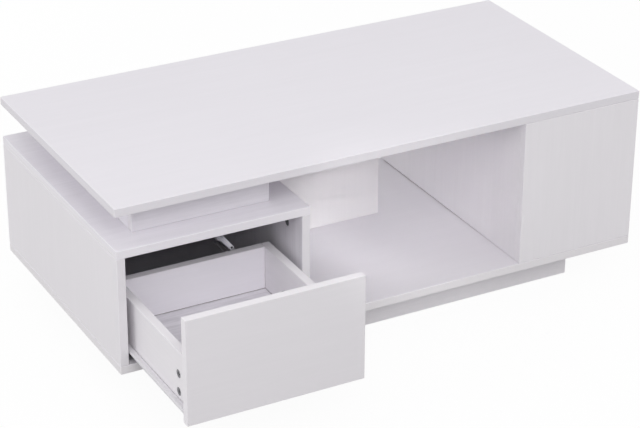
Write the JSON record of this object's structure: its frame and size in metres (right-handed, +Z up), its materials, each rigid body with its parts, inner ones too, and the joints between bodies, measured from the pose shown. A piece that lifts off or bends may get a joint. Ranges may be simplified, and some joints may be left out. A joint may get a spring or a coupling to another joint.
{
  "type": "coffee table",
  "caption": "Low rectangular coffee table with an overhanging top on a lit riser, a push-open drawer at its left end, an open middle, a closed right end and a set-back plinth.",
  "frame": {"origin": "on the floor, under the middle of the tabletop, on the underside of the plinth's cross rail", "axes": "+X along the table's length, from the drawer's end to the closed end; +Y from the front, where the drawer opens, to the rear; +Z up"},
  "size_m": [1, 0.713, 0.36],
  "materials": {
    "white_melamine": "white melamine on chipboard, satin, with a faint grain",
    "white_hardboard": "white lacquered hardboard, matte",
    "coated_steel": "white powder coat on bent steel sheet",
    "nylon": "natural nylon",
    "zinc": "cast zinc, dull grey",
    "plated_steel": "zinc plated",
    "grey_plastic": "light grey moulded plastic",
    "dark_plastic": "black moulded plastic",
    "milky_silicone": "translucent milky silicone tape"
  },
  "bodies": {
    "table": {"tabletop": "white_melamine", "bottom_board": "white_melamine", "left_side_panel": "white_melamine", "bay_right_wall": "white_melamine", "bay_top_panel": "white_melamine", "left_rear_panel": "white_melamine", "riser_front": "white_melamine", "riser_rear": "white_melamine", "riser_left": "white_melamine", "riser_right": "white_melamine", "divider_panel": "white_melamine", "right_inner_wall": "white_melamine", "right_side_panel": "white_melamine", "right_front_panel": "white_melamine", "right_rear_panel": "white_melamine", "plinth_front": "white_melamine", "plinth_rear": "white_melamine", "plinth_left": "white_melamine", "plinth_right": "white_melamine", "plinth_cross_rail": "white_melamine", "cabinet_runner_left": "coated_steel", "cabinet_runner_right": "coated_steel", "bay_cam_left_top_front": "zinc", "bay_cam_left_top_rear": "zinc", "bay_cam_left_bottom_front": "zinc", "bay_cam_left_bottom_rear": "zinc", "bay_cam_right_top_front": "zinc", "bay_cam_right_top_rear": "zinc", "bay_cam_right_bottom_front": "zinc", "bay_cam_right_bottom_rear": "zinc", "latch_housing": "grey_plastic", "led_strip_front": "milky_silicone", "led_strip_rear": "milky_silicone", "led_strip_left": "milky_silicone", "led_strip_right": "milky_silicone", "led_controller": "grey_plastic", "led_lead": "grey_plastic", "power_socket": "dark_plastic"},
    "drawer": {"drawer_front": "white_melamine", "drawer_left_side": "white_melamine", "drawer_right_side": "white_melamine", "drawer_back": "white_melamine", "drawer_bottom": "white_hardboard", "drawer_runner_left": "coated_steel", "drawer_runner_right": "coated_steel", "drawer_cam_left_lower": "zinc", "drawer_cam_left_upper": "zinc", "drawer_cam_right_lower": "zinc", "drawer_cam_right_upper": "zinc", "drawer_cam_bolt_left_lower": "plated_steel", "drawer_cam_bolt_left_upper": "plated_steel", "drawer_cam_bolt_right_lower": "plated_steel", "drawer_cam_bolt_right_upper": "plated_steel", "strike_plate": "plated_steel"},
    "cabinet_wheel_left": {"cabinet_roller_left": "nylon"},
    "cabinet_wheel_right": {"cabinet_roller_right": "nylon"},
    "drawer_wheel_left": {"drawer_roller_left": "nylon"},
    "drawer_wheel_right": {"drawer_roller_right": "nylon"},
    "plunger": {"latch_plunger": "grey_plastic"}
  },
  "joints": [
    {"name": "drawer_slide", "type": "slide", "parent": "table", "child": "drawer", "axis": [0, -1, 0], "range_m": [-0.22, 0.01]},
    {"name": "cabinet_wheel_left_spin", "type": "hinge", "parent": "table", "child": "cabinet_wheel_left", "pos_m": [-0.4785, -0.2145, 0.0875], "axis": [1, 0, 0], "continuous": true},
    {"name": "cabinet_wheel_right_spin", "type": "hinge", "parent": "table", "child": "cabinet_wheel_right", "pos_m": [-0.1745, -0.2145, 0.0875], "axis": [1, 0, 0], "continuous": true},
    {"name": "drawer_wheel_left_spin", "type": "hinge", "parent": "drawer", "child": "drawer_wheel_left", "pos_m": [-0.4789, -0.1622, 0.08525], "axis": [1, 0, 0], "continuous": true},
    {"name": "drawer_wheel_right_spin", "type": "hinge", "parent": "drawer", "child": "drawer_wheel_right", "pos_m": [-0.1741, -0.1622, 0.08525], "axis": [1, 0, 0], "continuous": true},
    {"name": "latch_press", "type": "slide", "parent": "table", "child": "plunger", "axis": [0, 1, 0], "range_m": [-0.003, 0.043]}
  ],
  "couplings": [
    {"joint": "cabinet_wheel_left_spin", "follows": "drawer_slide", "rad_per_m": 100},
    {"joint": "cabinet_wheel_right_spin", "follows": "drawer_slide", "rad_per_m": 100},
    {"joint": "drawer_wheel_left_spin", "follows": "drawer_slide", "rad_per_m": 129.03},
    {"joint": "drawer_wheel_right_spin", "follows": "drawer_slide", "rad_per_m": 129.03},
    {"joint": "latch_press", "follows": "drawer_slide", "ratio": -0.18909}
  ]
}
